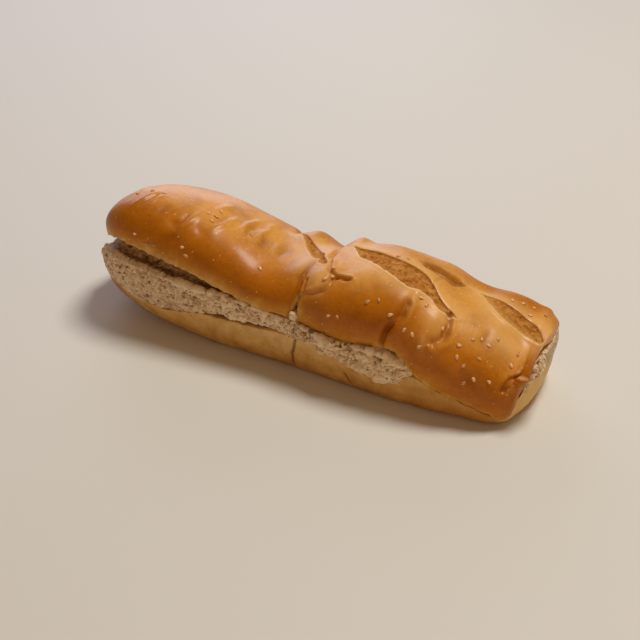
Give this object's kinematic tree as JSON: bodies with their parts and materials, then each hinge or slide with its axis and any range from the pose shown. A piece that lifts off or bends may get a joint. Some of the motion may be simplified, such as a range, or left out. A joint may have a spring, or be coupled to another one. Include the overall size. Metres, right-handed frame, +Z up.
{
  "type": "submarine sandwich",
  "caption": "Long seeded bread roll cut through lengthwise and spread with a coarse chopped filling that shows along the front and at both ends.",
  "frame": {"origin": "centre of the footprint at the base the roll rests on", "axes": "+X along the roll towards its squarer end, -Y towards the open front, +Z up"},
  "size_m": [0.234, 0.0732, 0.0646],
  "materials": {
    "top_crust": "satin glaze of a baked crust, golden brown",
    "filling": "moist, rough, grey beige",
    "bottom_crust": "soft matt crust, pale tan"
  },
  "bodies": {
    "root": {"top_bun": "top_crust", "filling": "filling", "bottom_bun": "bottom_crust"}
  },
  "joints": []
}
